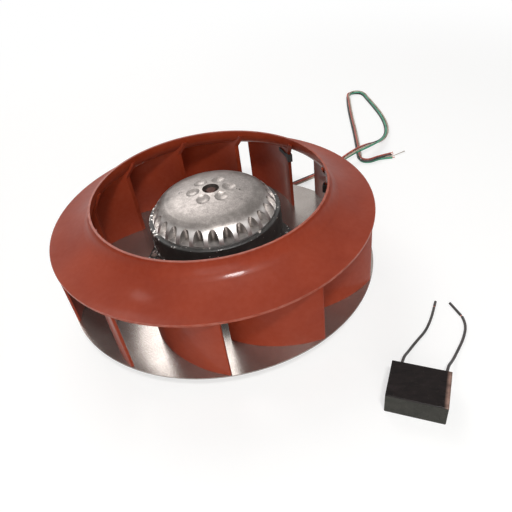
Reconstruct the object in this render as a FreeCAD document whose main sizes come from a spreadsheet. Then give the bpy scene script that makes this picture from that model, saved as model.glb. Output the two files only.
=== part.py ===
import FreeCAD, Part
import math
import operator
import os
from types import SimpleNamespace

import Sketcher
from FreeCAD import Placement, Rotation, Vector

# Motorised centrifugal fan wheel with its run capacitor.
# Origin at the centre of the stator flange's mounting face, +Z along the shaft to the inlet.
# Lengths are in millimetres and angles in degrees.

SIZES = {
    # inlet ring
    "rim_radius": 125.0,
    "rim_height": 64.3,
    "inlet_radius": 90.9,
    "collar_height": 20.9,
    "bend_radius": 97.6,
    "bend_rise": 8.9,
    "collar_arc": 13.4,
    "ring_arc": 69.3,
    "shroud_wall": 1.6,
    # back disc
    "disc_height": 12.0,
    "disc_wall": 1.0,
    "disc_bore_radius": 47.5,
    # blades
    "blade_count": 11,
    "blade_wall": 2.0,
    "blade_arc": 85.0,
    "blade_nose_radius": 93.5,
    "blade_tail_radius": 124.5,
    "blade_sweep": 31.6,
    "blade_azimuth": 86.1,
    "nose_run_back": 6.6,
    "tail_trim_angle": -1.4,
    "rib_radius": 87.9,
    "rib_drop": 4.6,
    "rib_taper": 12.0,
    "tab_first": 12.0,
    "tab_second": 34.0,
    "tab_half_angle": 3.0,
    "tab_head": 0.9,
    "tab_lip": 0.8,
    "tab_lip_angle": 0.5,
    "slot_gap": 0.15,
    "slot_gap_angle": 0.1,
    # rotor skirt and its rivets
    "skirt_flange_radius": 65.0,
    "skirt_flange_wall": 3.0,
    "skirt_radius": 52.4,
    "skirt_fillet": 5.0,
    "rivet_count": 8,
    "rivet_circle_radius": 60.5,
    "rivet_radius": 1.6,
    "rivet_head_radius": 2.4,
    "rivet_head": 1.1,
    # rotor core and cap
    "core_low": 43.3,
    "core_length": 18.6,
    "core_radius": 52.0,
    "core_chamfer": 0.6,
    "air_gap": 0.4,
    "cap_radius": 48.5,
    "cap_foot": 1.3,
    "cap_wall": 10.6,
    "cap_shoulder_radius": 37.0,
    "cap_shoulder_rise": 13.9,
    "cap_side_arc": 18.5,
    "cap_dome_arc": 160.0,
    "cap_top_rise": 20.1,
    "cap_roof_rise": 9.1,
    "cap_roof_radius": 34.0,
    "hub_recess_radius": 6.5,
    "hub_recess_depth": 3.6,
    "hub_boss_radius": 5.7,
    "hub_boss_step": 1.9,
    "hub_root_radius": 10.5,
    "pocket_count": 27,
    "pocket_half_width": 4.0,
    "pocket_depth": 7.0,
    "pocket_arch": 15.5,
    "pocket_circle_radius": 47.0,
    "pocket_floor": 1.2,
    "dimple_count": 6,
    "dimple_circle_radius": 15.0,
    "dimple_ball_radius": 9.4,
    "dimple_depth": 1.7,
    "dimple_azimuth": 16.0,
    # shaft and its retaining ring
    "shaft_radius": 4.0,
    "shaft_low": 2.6,
    "shaft_stand": 2.2,
    "shaft_chamfer": 0.5,
    "clip_groove_depth": 0.5,
    "clip_wall": 0.9,
    "clip_radius": 6.0,
    "clip_gap": 0.1,
    # ball bearings
    "bearing_radius": 11.0,
    "bearing_width": 7.0,
    "bearing_pitch_radius": 7.5,
    "bearing_inner_land": 5.9,
    "bearing_outer_land": 9.1,
    "ball_radius": 1.984,
    "ball_play": 0.05,
    "ball_count": 7,
    "cage_half_width": 2.6,
    "cage_half_wall": 0.8,
    "cage_play": 0.15,
    "bearing_low": 5.0,
    "bearing_span": 52.3,
    "bearing_shoulder": 9.6,
    # stator flange with its bearing tube
    "flange_radius": 45.0,
    "flange_wall": 4.0,
    "flange_rim_height": 16.5,
    "flange_rim_wall": 3.0,
    "tube_radius": 14.5,
    "tube_root_radius": 19.0,
    "tube_root_height": 12.0,
    "flange_rib_wall": 2.2,
    "flange_rib_height": 9.0,
    "screw_circle_radius": 33.0,
    "screw_count": 4,
    "screw_hole_radius": 2.1,
    "screw_hole_depth": 10.0,
    "screw_boss_radius": 5.5,
    "screw_boss_height": 12.5,
    "end_cap_sink": 0.6,
    "end_cap_wall": 0.9,
    "washer_wall": 0.45,
    "washer_height": 0.8,
    "washer_play": 0.1,
    # stator core and windings
    "stator_radius": 36.6,
    "slot_count": 24,
    "slot_root_radius": 19.5,
    "slot_tip_radius": 33.0,
    "slot_root_half": 1.5,
    "slot_tip_half": 3.1,
    "slot_mouth_half": 1.0,
    "insulator_wall": 1.2,
    "insulator_inset": 1.0,
    "winding_inset": 0.25,
    "winding_rise": 6.4,
    "winding_inner_radius": 18.5,
    "winding_outer_radius": 34.5,
    "winding_round": 2.6,
    # cable grommet and leads
    "grommet_half_width": 4.0,
    "grommet_height": 7.0,
    "grommet_foot": 0.4,
    "grommet_depth": 4.5,
    "grommet_lip": 1.2,
    "grommet_lip_wall": 1.5,
    "lead_diameter": 1.9,
    "lead_seat_radius": 1.56,
    # balance clips
    "clip_leg_angle": 12.8,
    "clip_end_angle": 1.6,
    "clip_nose_angle": 1.85,
    "clip_web_angle": 0.55,
    "clip_width": 3.4,
    "clip_end_width": 7.0,
    "clip_strip": 0.8,
    "clip_slack": 0.3,
    "clip_1_drop": 19.0,
    "clip_2_drop": 25.6,
    # run capacitor
    "capacitor_width": 38.0,
    "capacitor_depth": 28.0,
    "capacitor_height": 17.0,
    "capacitor_wall": 1.2,
    "capacitor_round": 0.8,
    "capacitor_x": 145.5,
    "capacitor_y": -129.8,
    "capacitor_yaw": 14.0,
    "resin_depth": 3.0,
    "element_gap": 1.5,
    "element_length": 20.0,
    "capacitor_lead_diameter": 2.0,
}

# Middle line of the four leads, from the grommet to where they fan out
LEAD_ROUTE = [
    (0.0, 46.5, 2.6),
    (0.0, 80.0, 2.6),
    (18.0, 108.0, 2.6),
    (53.0, 132.5, 2.6),
    (87.0, 159.0, 2.6),
    (111.0, 178.5, 10.8),
    (133.0, 197.5, 10.8),
    (150.0, 221.0, 2.6),
    (157.5, 247.0, 2.6),
    (155.0, 282.0, 2.6),
    (147.0, 315.0, 2.6),
    (139.0, 342.5, 2.6),
    (133.2, 364.5, 2.6),
    (122.2, 368.6, 2.6),
    (112.6, 362.0, 2.6),
    (112.8, 340.5, 2.6),
    (114.3, 299.0, 2.6),
    (118.5, 246.0, 2.6),
    (120.4, 211.0, 2.6),
    (121.0, 192.5, 2.6),
    (121.7, 180.0, 2.6),
    (126.4, 175.5, 2.6),
    (132.9, 175.2, 2.6),
    (143.1, 182.2, 2.6),
]

# Each lead's seat in the bunch, as an angle about the middle line, and its own last points
LEADS = {
    "lead_red": (270.0, [(156.5, 193.6, 1.0)]),
    "lead_black": (0.0, [(157.0, 190.2, 1.0)]),
    "lead_cream": (180.0, [(158.0, 186.8, 1.0), (172.5, 197.5, 1.0)]),
    "lead_green": (90.0, [(157.5, 183.2, 1.0)]),
}
TWIST_CENTRE = 9
TWIST_TURN = 18
TWIST_OUT = 20.0
TWIST_BACK = 15.0

CAPACITOR_LEADS = {
    "capacitor_lead_left": [
        (136.27, -113.07, 9.0),
        (138.69, -103.37, 9.0),
        (144.0, -92.5, 2.4),
        (150.8, -82.3, 1.3),
        (158.6, -72.6, 1.3),
        (163.8, -61.5, 1.3),
        (167.2, -51.5, 1.3),
        (170.3, -42.3, 1.3),
    ],
    "capacitor_lead_right": [
        (164.41, -120.09, 9.0),
        (166.83, -110.39, 9.0),
        (172.5, -100.5, 2.4),
        (178.0, -90.5, 1.3),
        (184.5, -78.5, 1.3),
        (188.6, -65.5, 1.3),
        (186.5, -54.0, 1.3),
        (180.3, -43.0, 1.3),
    ],
}
ARC_SHARE = 0.45

OPERATIONS = {"+": operator.add, "-": operator.sub, "*": operator.mul, "/": operator.truediv}


class Size:
    """A number together with the sheet formula that gives it."""

    def __init__(self, number, formula):
        self.number = float(number)
        self.formula = formula

    def __add__(self, other):
        return joined(self, "+", other)

    def __radd__(self, other):
        return joined(other, "+", self)

    def __sub__(self, other):
        return joined(self, "-", other)

    def __rsub__(self, other):
        return joined(other, "-", self)

    def __mul__(self, other):
        return joined(self, "*", other)

    def __rmul__(self, other):
        return joined(other, "*", self)

    def __truediv__(self, other):
        return joined(self, "/", other)

    def __rtruediv__(self, other):
        return joined(other, "/", self)

    def __neg__(self):
        return joined(0.0, "-", self)


def as_size(item):
    return item if isinstance(item, Size) else Size(item, f"({float(item)})")


def joined(left, sign, right):
    left, right = as_size(left), as_size(right)
    number = OPERATIONS[sign](left.number, right.number)
    return Size(number, f"({left.formula} {sign} {right.formula})")


def root(item):
    return Size(math.sqrt(item.number), f"sqrt({item.formula})")


def cosine(item):
    return Size(math.cos(math.radians(item.number)), f"cos({item.formula})")


def sine(item):
    return Size(math.sin(math.radians(item.number)), f"sin({item.formula})")


def arcsine(item):
    return Size(math.degrees(math.asin(item.number)), f"(asin({item.formula}) / 1deg)")


doc = FreeCAD.newDocument("fan_motor_assembly")
sheet = doc.addObject("Spreadsheet::Sheet", "dimensions")
aliases = []


def cell(alias, content, number):
    """Fill the sheet's next row and return the size that it names."""
    aliases.append(alias)
    row = len(aliases)
    sheet.set(f"A{row}", alias)
    sheet.set(f"B{row}", content)
    sheet.setAlias(f"B{row}", alias)
    return Size(number, f"dimensions.{alias}")


def derived(alias, size):
    """A cell worked out from other cells."""
    return cell(alias, "=" + size.formula.replace("dimensions.", ""), size.number)


s = SimpleNamespace(**{alias: cell(alias, str(number), number) for alias, number in SIZES.items()})
pieces = []


doc.recompute()


def bind(thing, path, size):
    thing.setExpression(path, as_size(size).formula)


def new_body(label):
    """An empty body whose label names its file."""
    body = doc.addObject("PartDesign::Body", label)
    body.Label = label
    pieces.append(body)
    return body


def origin_feature(body, role):
    return next(feature for feature in body.Origin.OriginFeatures if feature.Role == role)


def attach(feature, body, role, lift=0.0):
    feature.AttachmentSupport = (origin_feature(body, role), [""])
    feature.MapMode = "FlatFace"
    bind(feature, ".AttachmentOffset.Base.z", lift)


def new_sketch(body, role="XZ_Plane", lift=0.0):
    sketch = body.newObject("Sketcher::SketchObject", body.Label + "_sketch")
    attach(sketch, body, role, lift)
    return sketch


def place_point(sketch, edge, end, x, y):
    """Hold one end of an edge at sheet coordinates."""
    for name, axis, size in (("DistanceX", -2, as_size(x)), ("DistanceY", -1, as_size(y))):
        if size.number == 0.0:
            sketch.addConstraint(Sketcher.Constraint("PointOnObject", edge, end, axis))
        else:
            index = sketch.addConstraint(Sketcher.Constraint(name, -1, 1, edge, end, size.number))
            bind(sketch, f"Constraints[{index}]", size)


def arc_between(start, end, radius, turn):
    """The short arc from start to end, turning left for turn 1 and right for turn -1."""
    chord = end - start
    sideways = Vector(-chord.y, chord.x, 0).normalize() * turn
    centre = (start + end) * 0.5 + sideways * math.sqrt(radius**2 - (chord.Length / 2) ** 2)
    angles = [math.atan2(point.y - centre.y, point.x - centre.x) for point in (start, end)]
    first, last = angles if turn > 0 else reversed(angles)
    return Part.ArcOfCircle(Part.Circle(centre, Vector(0, 0, 1), radius), first, last)


def outline(sketch, corners):
    """Close an outline through corners (x, y) or (x, y, radius, turn), where an arc leaves the corner."""
    spots = [Vector(as_size(corner[0]).number, as_size(corner[1]).number, 0) for corner in corners]
    ends = []
    for number, corner in enumerate(corners):
        start, finish = spots[number], spots[(number + 1) % len(spots)]
        if len(corner) == 4:
            radius, turn = as_size(corner[2]), corner[3]
            edge = sketch.addGeometry(arc_between(start, finish, radius.number, turn), False)
            ends.append((edge, 1, 2) if turn > 0 else (edge, 2, 1))
        else:
            edge = sketch.addGeometry(Part.LineSegment(start, finish), False)
            ends.append((edge, 1, 2))
    for number, corner in enumerate(corners):
        edge, first, last = ends[number]
        following, next_first, _ = ends[(number + 1) % len(ends)]
        sketch.addConstraint(Sketcher.Constraint("Coincident", edge, last, following, next_first))
        place_point(sketch, edge, first, corner[0], corner[1])
        if len(corner) == 4:
            radius = as_size(corner[2])
            index = sketch.addConstraint(Sketcher.Constraint("Radius", edge, radius.number))
            bind(sketch, f"Constraints[{index}]", radius)


def circle(sketch, radius, x=0.0, y=0.0):
    radius = as_size(radius)
    centre = Vector(as_size(x).number, as_size(y).number, 0)
    edge = sketch.addGeometry(Part.Circle(centre, Vector(0, 0, 1), radius.number), False)
    index = sketch.addConstraint(Sketcher.Constraint("Radius", edge, radius.number))
    bind(sketch, f"Constraints[{index}]", radius)
    place_point(sketch, edge, 3, x, y)


def box_corners(left, low, right, high):
    return [(left, low), (right, low), (right, high), (left, high)]


def pad(body, sketch, length, reverse=False):
    feature = body.newObject("PartDesign::Pad", body.Label + "_pad")
    feature.Profile = sketch
    feature.Reversed = reverse
    bind(feature, "Length", length)
    return feature


def pocket(body, sketch, length, reverse=False):
    feature = body.newObject("PartDesign::Pocket", body.Label + "_pocket")
    feature.Profile = sketch
    feature.Reversed = reverse
    bind(feature, "Length", length)
    return feature


def turned(body, sketch, kind="Revolution", axis="V_Axis"):
    feature = body.newObject("PartDesign::" + kind, body.Label + "_turned")
    feature.Profile = sketch
    feature.ReferenceAxis = (sketch, [axis])
    feature.Angle = 360
    return feature


def around(body, features, count):
    """Repeat features evenly about the body's own Z axis."""
    pattern = body.newObject("PartDesign::PolarPattern", body.Label + "_pattern")
    pattern.Originals = features
    pattern.Axis = (origin_feature(body, "Z_Axis"), [""])
    pattern.Angle = 360
    bind(pattern, "Occurrences", count)
    body.Tip = pattern
    return pattern


def primitive(body, kind, x, z, **sizes):
    """A ball, cylinder or ellipsoid feature that stands over the body's X axis."""
    feature = body.newObject("PartDesign::" + kind, body.Label + "_" + kind.lower())
    attach(feature, body, "XY_Plane", z)
    bind(feature, ".AttachmentOffset.Base.x", x)
    for name, size in sizes.items():
        bind(feature, name, size)
    return feature


def turned_body(label, corners):
    body = new_body(label)
    sketch = new_sketch(body)
    outline(sketch, corners)
    turned(body, sketch)
    return body


def spin(body, angle):
    """Turn a finished body about the fan's axis."""
    body.Placement = Placement(Vector(), Rotation(Vector(0, 0, 1), 1))
    bind(body, "Placement.Rotation.Angle", angle)


def centre_of(start, end, radius):
    """Centre of an arc from start to end, on the left of the way from one to the other."""
    across, along = end[0] - start[0], end[1] - start[1]
    length = root(across * across + along * along)
    reach = root(radius * radius - length * length / 4.0) / length
    return (start[0] + end[0]) / 2.0 - along * reach, (start[1] + end[1]) / 2.0 + across * reach


# Levels shared by several pieces
disc_top = derived("disc_top", s.disc_height + s.disc_wall)
inlet_height = derived("inlet_height", s.rim_height + s.collar_height)
core_top = derived("core_top", s.core_low + s.core_length)
rotor_bore = derived("rotor_bore", s.stator_radius + s.air_gap)
upper_bearing_low = derived("upper_bearing_low", s.bearing_low + s.bearing_span)
tube_top = derived("tube_top", upper_bearing_low + s.bearing_width)
cap_top = derived("cap_top", core_top + s.cap_top_rise)
blade_step = derived("blade_step", 360.0 / s.blade_count)

# Height over the blades' noses of a straight line from the inlet's edge to the rim
ring_fall = s.collar_height / (s.rim_radius - s.inlet_radius)
ring_over_nose = derived("ring_over_nose", inlet_height - (s.blade_nose_radius - s.inlet_radius) * ring_fall)

# Inside face of the inlet ring, shared by the ring and by the tops of the blades
under_inlet = (s.inlet_radius - s.shroud_wall, inlet_height - s.shroud_wall)
under_bend = (s.bend_radius - s.shroud_wall, s.rim_height + s.bend_rise - s.shroud_wall)
under_rim = (s.rim_radius - s.shroud_wall, s.rim_height - s.shroud_wall)


def make_inlet_ring():
    """Trumpet-shaped ring: a steep collar that flares into a shallow dish."""
    bend_height = s.rim_height + s.bend_rise
    turned_body("inlet_ring", [
        (*under_inlet, s.collar_arc, 1),
        (*under_bend, s.ring_arc, 1),
        under_rim,
        (s.rim_radius, s.rim_height - s.shroud_wall),
        (s.rim_radius, s.rim_height, s.ring_arc, -1),
        (s.bend_radius, bend_height, s.collar_arc, -1),
        (s.inlet_radius, inlet_height),
        (s.inlet_radius - s.shroud_wall, inlet_height),
    ])


# Camber line of the first blade: one arc from the nose to the tail, seen along the axis
tail_angle = s.blade_azimuth
nose_angle = s.blade_azimuth - s.blade_sweep
tail = (
    derived("blade_tail_x", s.blade_tail_radius * cosine(tail_angle)),
    derived("blade_tail_y", s.blade_tail_radius * sine(tail_angle)),
)
nose = (
    derived("blade_nose_x", s.blade_nose_radius * cosine(nose_angle)),
    derived("blade_nose_y", s.blade_nose_radius * sine(nose_angle)),
)
centre = centre_of(nose, tail, s.blade_arc)
camber_centre = (derived("camber_centre_x", centre[0]), derived("camber_centre_y", centre[1]))
nose_spoke = (
    derived("nose_spoke_x", (nose[0] - camber_centre[0]) / s.blade_arc),
    derived("nose_spoke_y", (nose[1] - camber_centre[1]) / s.blade_arc),
)
chord = root((tail[0] - nose[0]) * (tail[0] - nose[0]) + (tail[1] - nose[1]) * (tail[1] - nose[1]))
camber_angle = derived("camber_angle", 2.0 * arcsine(chord / s.blade_arc / 2.0))


def camber_point(angle, radius):
    """Point of the blade's plan at an angle past the nose, both about the camber centre."""
    angle = as_size(angle)
    across = nose_spoke[0] * cosine(angle) - nose_spoke[1] * sine(angle)
    along = nose_spoke[0] * sine(angle) + nose_spoke[1] * cosine(angle)
    return camber_centre[0] + across * radius, camber_centre[1] + along * radius


def camber_strip(first, last, half):
    """Corners of a strip that follows the camber between two angles."""
    outside, inside = s.blade_arc + half, s.blade_arc - half
    return [
        (*camber_point(first, outside), outside, 1),
        camber_point(last, outside),
        (*camber_point(last, inside), inside, -1),
        camber_point(first, inside),
    ]


def tab_strip(centre, margin_angle, half):
    reach = s.tab_half_angle + margin_angle
    return camber_strip(centre - reach, centre + reach, half)


def make_blade(number):
    """Backward-curved blade with two staked tabs and a small rib up the collar."""
    body = new_body(f"blade_{number + 1:02d}")
    half = s.blade_wall / 2.0
    plan = new_sketch(body, "XY_Plane", disc_top)
    outline(plan, camber_strip(-s.nose_run_back, camber_angle + s.tail_trim_angle, half))
    rib_top = inlet_height - s.rib_drop
    pad(body, plan, rib_top - disc_top)
    for centre in (s.tab_first, s.tab_second):
        tab = new_sketch(body, "XY_Plane", disc_top)
        outline(tab, tab_strip(centre, 0.0, half))
        pad(body, tab, s.disc_wall + s.tab_head, reverse=True)
        head = new_sketch(body, "XY_Plane", s.disc_height)
        outline(head, tab_strip(centre, s.tab_lip_angle, half + s.tab_lip))
        pad(body, head, s.tab_head, reverse=True)
    clear = 6.0
    above = new_sketch(body)
    outline(above, [
        (*under_inlet, s.collar_arc, 1),
        (*under_bend, s.ring_arc, 1),
        under_rim,
        (s.rim_radius + clear, s.rim_height - s.shroud_wall),
        (s.rim_radius + clear, inlet_height + clear),
        (s.inlet_radius - s.shroud_wall, inlet_height + clear),
    ])
    turned(body, above, "Groove")
    before_nose = new_sketch(body)
    rib_foot = rib_top - s.rib_taper
    outline(before_nose, [
        (s.rib_radius - 3.0 * clear, s.disc_height - clear),
        (s.blade_nose_radius, s.disc_height - clear),
        (s.blade_nose_radius, rib_foot),
        (s.rib_radius, rib_top),
        (s.rib_radius, rib_top + clear),
        (s.rib_radius - 3.0 * clear, rib_top + clear),
    ])
    turned(body, before_nose, "Groove")
    past_rim = new_sketch(body)
    outline(past_rim, box_corners(
        s.blade_tail_radius, s.disc_height - clear, s.blade_tail_radius + 5.0 * clear, inlet_height))
    turned(body, past_rim, "Groove")
    if number:
        spin(body, blade_step * number)


def make_back_disc():
    """Flat sheet disc with slots for the blades' tabs and holes for the rivets."""
    body = new_body("back_disc")
    plate = new_sketch(body, "XY_Plane", s.disc_height)
    circle(plate, s.rim_radius)
    circle(plate, s.disc_bore_radius)
    pad(body, plate, s.disc_wall)
    slots = new_sketch(body, "XY_Plane", disc_top)
    for centre in (s.tab_first, s.tab_second):
        outline(slots, tab_strip(centre, s.slot_gap_angle, s.blade_wall / 2.0 + s.slot_gap))
    around(body, [pocket(body, slots, s.disc_wall)], s.blade_count)
    hole = new_sketch(body, "XY_Plane", disc_top)
    circle(hole, s.rivet_radius, s.rivet_circle_radius)
    around(body, [pocket(body, hole, s.disc_wall)], s.rivet_count)


def make_rotor_skirt():
    """Cast end ring of the rotor, flared into the flange that carries the disc."""
    flange_top = disc_top + s.skirt_flange_wall
    body = turned_body("rotor_skirt", [
        (s.disc_bore_radius, disc_top),
        (s.skirt_flange_radius, disc_top),
        (s.skirt_flange_radius, flange_top),
        (s.skirt_radius + s.skirt_fillet, flange_top, s.skirt_fillet, -1),
        (s.skirt_radius, flange_top + s.skirt_fillet),
        (s.skirt_radius, s.core_low),
        (s.disc_bore_radius, s.core_low),
    ])
    hole = new_sketch(body, "XY_Plane", flange_top)
    circle(hole, s.rivet_radius, s.rivet_circle_radius)
    around(body, [pocket(body, hole, s.skirt_flange_wall)], s.rivet_count)


def add_axis(sketch, x):
    """A construction line to turn a profile about, away from the fan's axis."""
    x = as_size(x)
    line = Part.LineSegment(Vector(x.number, 0, 0), Vector(x.number, 1, 0))
    edge = sketch.addGeometry(line, True)
    sketch.addConstraint(Sketcher.Constraint("Vertical", edge))
    place_point(sketch, edge, 1, x, 0.0)
    sketch.addConstraint(Sketcher.Constraint("DistanceY", edge, 1, edge, 2, 1.0))


def make_rotor_rivets():
    """Rivets that clamp the disc to the rotor's flange."""
    body = new_body("rotor_rivets")
    sketch = new_sketch(body)
    add_axis(sketch, s.rivet_circle_radius)
    middle = s.rivet_circle_radius
    flange_top = disc_top + s.skirt_flange_wall
    outline(sketch, [
        (middle, s.disc_height - s.rivet_head),
        (middle + s.rivet_head_radius, s.disc_height - s.rivet_head),
        (middle + s.rivet_head_radius, s.disc_height),
        (middle + s.rivet_radius, s.disc_height),
        (middle + s.rivet_radius, flange_top),
        (middle + s.rivet_head_radius, flange_top),
        (middle + s.rivet_head_radius, flange_top + s.rivet_head),
        (middle, flange_top + s.rivet_head),
    ])
    around(body, [turned(body, sketch, axis="Axis0")], s.rivet_count)


def make_rotor_core():
    """Ring of steel laminations between the skirt and the cap."""
    turned_body("rotor_core", [
        (rotor_bore, s.core_low),
        (s.core_radius - s.core_chamfer, s.core_low),
        (s.core_radius, s.core_low + s.core_chamfer),
        (s.core_radius, core_top - s.core_chamfer),
        (s.core_radius - s.core_chamfer, core_top),
        (rotor_bore, core_top),
    ])


def make_rotor_cap():
    """Cast aluminium end of the rotor with cooling pockets and six dimples."""
    foot_top = core_top + s.cap_foot
    shoulder = core_top + s.cap_shoulder_rise
    roof = core_top + s.cap_roof_rise
    wall_inside = s.cap_radius - s.cap_wall
    roof_drop = wall_inside - s.cap_roof_radius
    recess_floor = cap_top - s.hub_recess_depth
    body = turned_body("rotor_cap", [
        (wall_inside, core_top),
        (s.cap_radius, core_top),
        (s.cap_radius, foot_top, s.cap_side_arc, 1),
        (s.cap_shoulder_radius, shoulder, s.cap_dome_arc, 1),
        (s.hub_recess_radius, cap_top),
        (s.hub_recess_radius, recess_floor),
        (s.shaft_radius, recess_floor),
        (s.shaft_radius, tube_top),
        (s.hub_boss_radius, tube_top),
        (s.hub_boss_radius, tube_top + s.hub_boss_step),
        (s.hub_root_radius, roof),
        (s.cap_roof_radius, roof, roof_drop, -1),
        (wall_inside, roof - roof_drop),
    ])
    # Each pocket is the upper half of an ellipsoid that stands on the pocket's floor
    arch = primitive(body, "SubtractiveEllipsoid", s.pocket_circle_radius, core_top + s.pocket_floor,
                     Radius1=s.pocket_arch, Radius2=s.pocket_depth, Radius3=s.pocket_half_width)
    arch.Angle1 = 0
    around(body, [arch], s.pocket_count)
    dome = centre_of((s.cap_shoulder_radius, shoulder), (s.hub_recess_radius, cap_top), s.cap_dome_arc)
    aside = s.dimple_circle_radius - dome[0]
    surface = dome[1] + root(s.cap_dome_arc * s.cap_dome_arc - aside * aside)
    dimple = primitive(body, "SubtractiveSphere", s.dimple_circle_radius * cosine(s.dimple_azimuth),
                       surface + s.dimple_ball_radius - s.dimple_depth, Radius=s.dimple_ball_radius)
    bind(dimple, ".AttachmentOffset.Base.y", s.dimple_circle_radius * sine(s.dimple_azimuth))
    around(body, [dimple], s.dimple_count)


def make_shaft():
    """Ground steel shaft, pressed in the cap and grooved for its retaining ring."""
    groove_top = s.bearing_low - s.clip_gap
    groove_low = groove_top - s.clip_wall
    groove_radius = s.shaft_radius - s.clip_groove_depth
    top = cap_top - s.hub_recess_depth + s.shaft_stand
    chamfered = s.shaft_radius - s.shaft_chamfer
    turned_body("shaft", [
        (0.0, s.shaft_low),
        (chamfered, s.shaft_low),
        (s.shaft_radius, s.shaft_low + s.shaft_chamfer),
        (s.shaft_radius, groove_low),
        (groove_radius, groove_low),
        (groove_radius, groove_top),
        (s.shaft_radius, groove_top),
        (s.shaft_radius, top - s.shaft_chamfer),
        (chamfered, top),
        (0.0, top),
    ])


def make_retaining_ring():
    """Open spring ring in the shaft's groove, under the lower bearing."""
    body = new_body("shaft_retaining_ring")
    groove_top = s.bearing_low - s.clip_gap
    ring = new_sketch(body, "XY_Plane", groove_top - s.clip_wall)
    circle(ring, s.clip_radius)
    circle(ring, s.shaft_radius - s.clip_groove_depth)
    pad(body, ring, s.clip_wall)
    gap = new_sketch(body, "XY_Plane", groove_top)
    outline(gap, box_corners(0.0, -s.shaft_radius / 2.0, s.clip_radius + 1.0, s.shaft_radius / 2.0))
    pocket(body, gap, s.clip_wall)


def make_bearing(name, low):
    """One deep-groove ball bearing: two rings, balls and a cage."""
    middle = low + s.bearing_width / 2.0
    high = low + s.bearing_width
    race = s.ball_radius + s.ball_play
    inner_drop = root(race * race - (s.bearing_pitch_radius - s.bearing_inner_land)
                      * (s.bearing_pitch_radius - s.bearing_inner_land))
    outer_drop = root(race * race - (s.bearing_outer_land - s.bearing_pitch_radius)
                      * (s.bearing_outer_land - s.bearing_pitch_radius))
    turned_body(name + "_bearing_inner_ring", [
        (s.shaft_radius, low),
        (s.bearing_inner_land, low),
        (s.bearing_inner_land, middle - inner_drop, race, -1),
        (s.bearing_inner_land, middle + inner_drop),
        (s.bearing_inner_land, high),
        (s.shaft_radius, high),
    ])
    turned_body(name + "_bearing_outer_ring", [
        (s.bearing_outer_land, low),
        (s.bearing_radius, low),
        (s.bearing_radius, high),
        (s.bearing_outer_land, high),
        (s.bearing_outer_land, middle + outer_drop, race, -1),
        (s.bearing_outer_land, middle - outer_drop),
    ])
    balls = new_body(name + "_bearing_balls")
    ball = primitive(balls, "AdditiveSphere", s.bearing_pitch_radius, middle, Radius=s.ball_radius)
    around(balls, [ball], s.ball_count)
    cage = turned_body(name + "_bearing_cage", box_corners(
        s.bearing_pitch_radius - s.cage_half_wall, middle - s.cage_half_width,
        s.bearing_pitch_radius + s.cage_half_wall, middle + s.cage_half_width))
    beyond = s.bearing_pitch_radius + 2.0 * s.cage_half_wall
    seat = new_sketch(cage, "YZ_Plane", beyond)
    circle(seat, s.ball_radius + s.cage_play, 0.0, middle)
    around(cage, [pocket(cage, seat, 4.0 * s.cage_half_wall)], s.ball_count)


def make_stator_flange():
    """Die-cast flange with its bearing tube, labyrinth rim, ribs and screw bosses."""
    upper_seat = upper_bearing_low - s.washer_height
    lower_seat = s.bearing_low + s.bearing_width
    rim_inside = s.flange_radius - s.flange_rim_wall
    body = turned_body("stator_flange", [
        (s.bearing_radius, 0.0),
        (s.flange_radius, 0.0),
        (s.flange_radius, s.flange_rim_height),
        (rim_inside, s.flange_rim_height),
        (rim_inside, s.flange_wall),
        (s.tube_root_radius, s.flange_wall),
        (s.tube_radius, s.tube_root_height),
        (s.tube_radius, tube_top),
        (s.bearing_radius, tube_top),
        (s.bearing_radius, upper_seat),
        (s.bearing_shoulder, upper_seat),
        (s.bearing_shoulder, lower_seat),
        (s.bearing_radius, lower_seat),
    ])
    boss_place = root(s.screw_circle_radius * s.screw_circle_radius / 2.0)
    bosses = new_sketch(body, "XY_Plane", s.flange_wall)
    circle(bosses, s.screw_boss_radius, boss_place, boss_place)
    around(body, [pad(body, bosses, s.screw_boss_height - s.flange_wall)], s.screw_count)
    rib = new_sketch(body, "XY_Plane", s.flange_wall)
    outline(rib, box_corners(
        s.tube_radius + 1.0, -s.flange_rib_wall / 2.0, rim_inside + 1.0, s.flange_rib_wall / 2.0))
    around(body, [pad(body, rib, s.flange_rib_height - s.flange_wall)], s.screw_count)
    holes = new_sketch(body, "XY_Plane", 0.0)
    circle(holes, s.screw_hole_radius, boss_place, boss_place)
    around(body, [pocket(body, holes, s.screw_hole_depth, reverse=True)], s.screw_count)
    notch = new_sketch(body, "XY_Plane", 0.0)
    outline(notch, box_corners(
        -s.grommet_half_width, s.flange_radius - s.grommet_depth,
        s.grommet_half_width, s.flange_radius + 1.0))
    pocket(body, notch, s.grommet_height, reverse=True)


def make_cable_grommet():
    """Rubber block in the flange's notch, with a lip around it outside the rim."""
    body = new_body("cable_grommet")
    half = s.grommet_half_width
    block = new_sketch(body, "XY_Plane", s.grommet_foot)
    outline(block, box_corners(-half, s.flange_radius - s.grommet_depth, half, s.flange_radius))
    pad(body, block, s.grommet_height - s.grommet_foot)
    lip = new_sketch(body, "XY_Plane", s.grommet_foot)
    wide = half + s.grommet_lip
    outline(lip, box_corners(
        -wide, s.flange_radius, wide, s.flange_radius + s.grommet_lip_wall))
    pad(body, lip, s.grommet_height + s.grommet_lip - s.grommet_foot)


def make_end_cap():
    """Pressed steel disc that closes the bearing tube at the mounting face."""
    turned_body("bearing_end_cap", box_corners(
        0.0, s.end_cap_sink, s.bearing_radius, s.end_cap_sink + s.end_cap_wall))


def make_preload_washer():
    """Dished spring washer that loads the upper bearing's outer ring."""
    low = upper_bearing_low - s.washer_height
    inside = s.bearing_shoulder + s.washer_play
    outside = s.bearing_radius - s.washer_play
    turned_body("preload_washer", [
        (inside, low + s.washer_height - s.washer_wall),
        (outside, low),
        (outside, low + s.washer_wall),
        (inside, low + s.washer_height),
    ])


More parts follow.
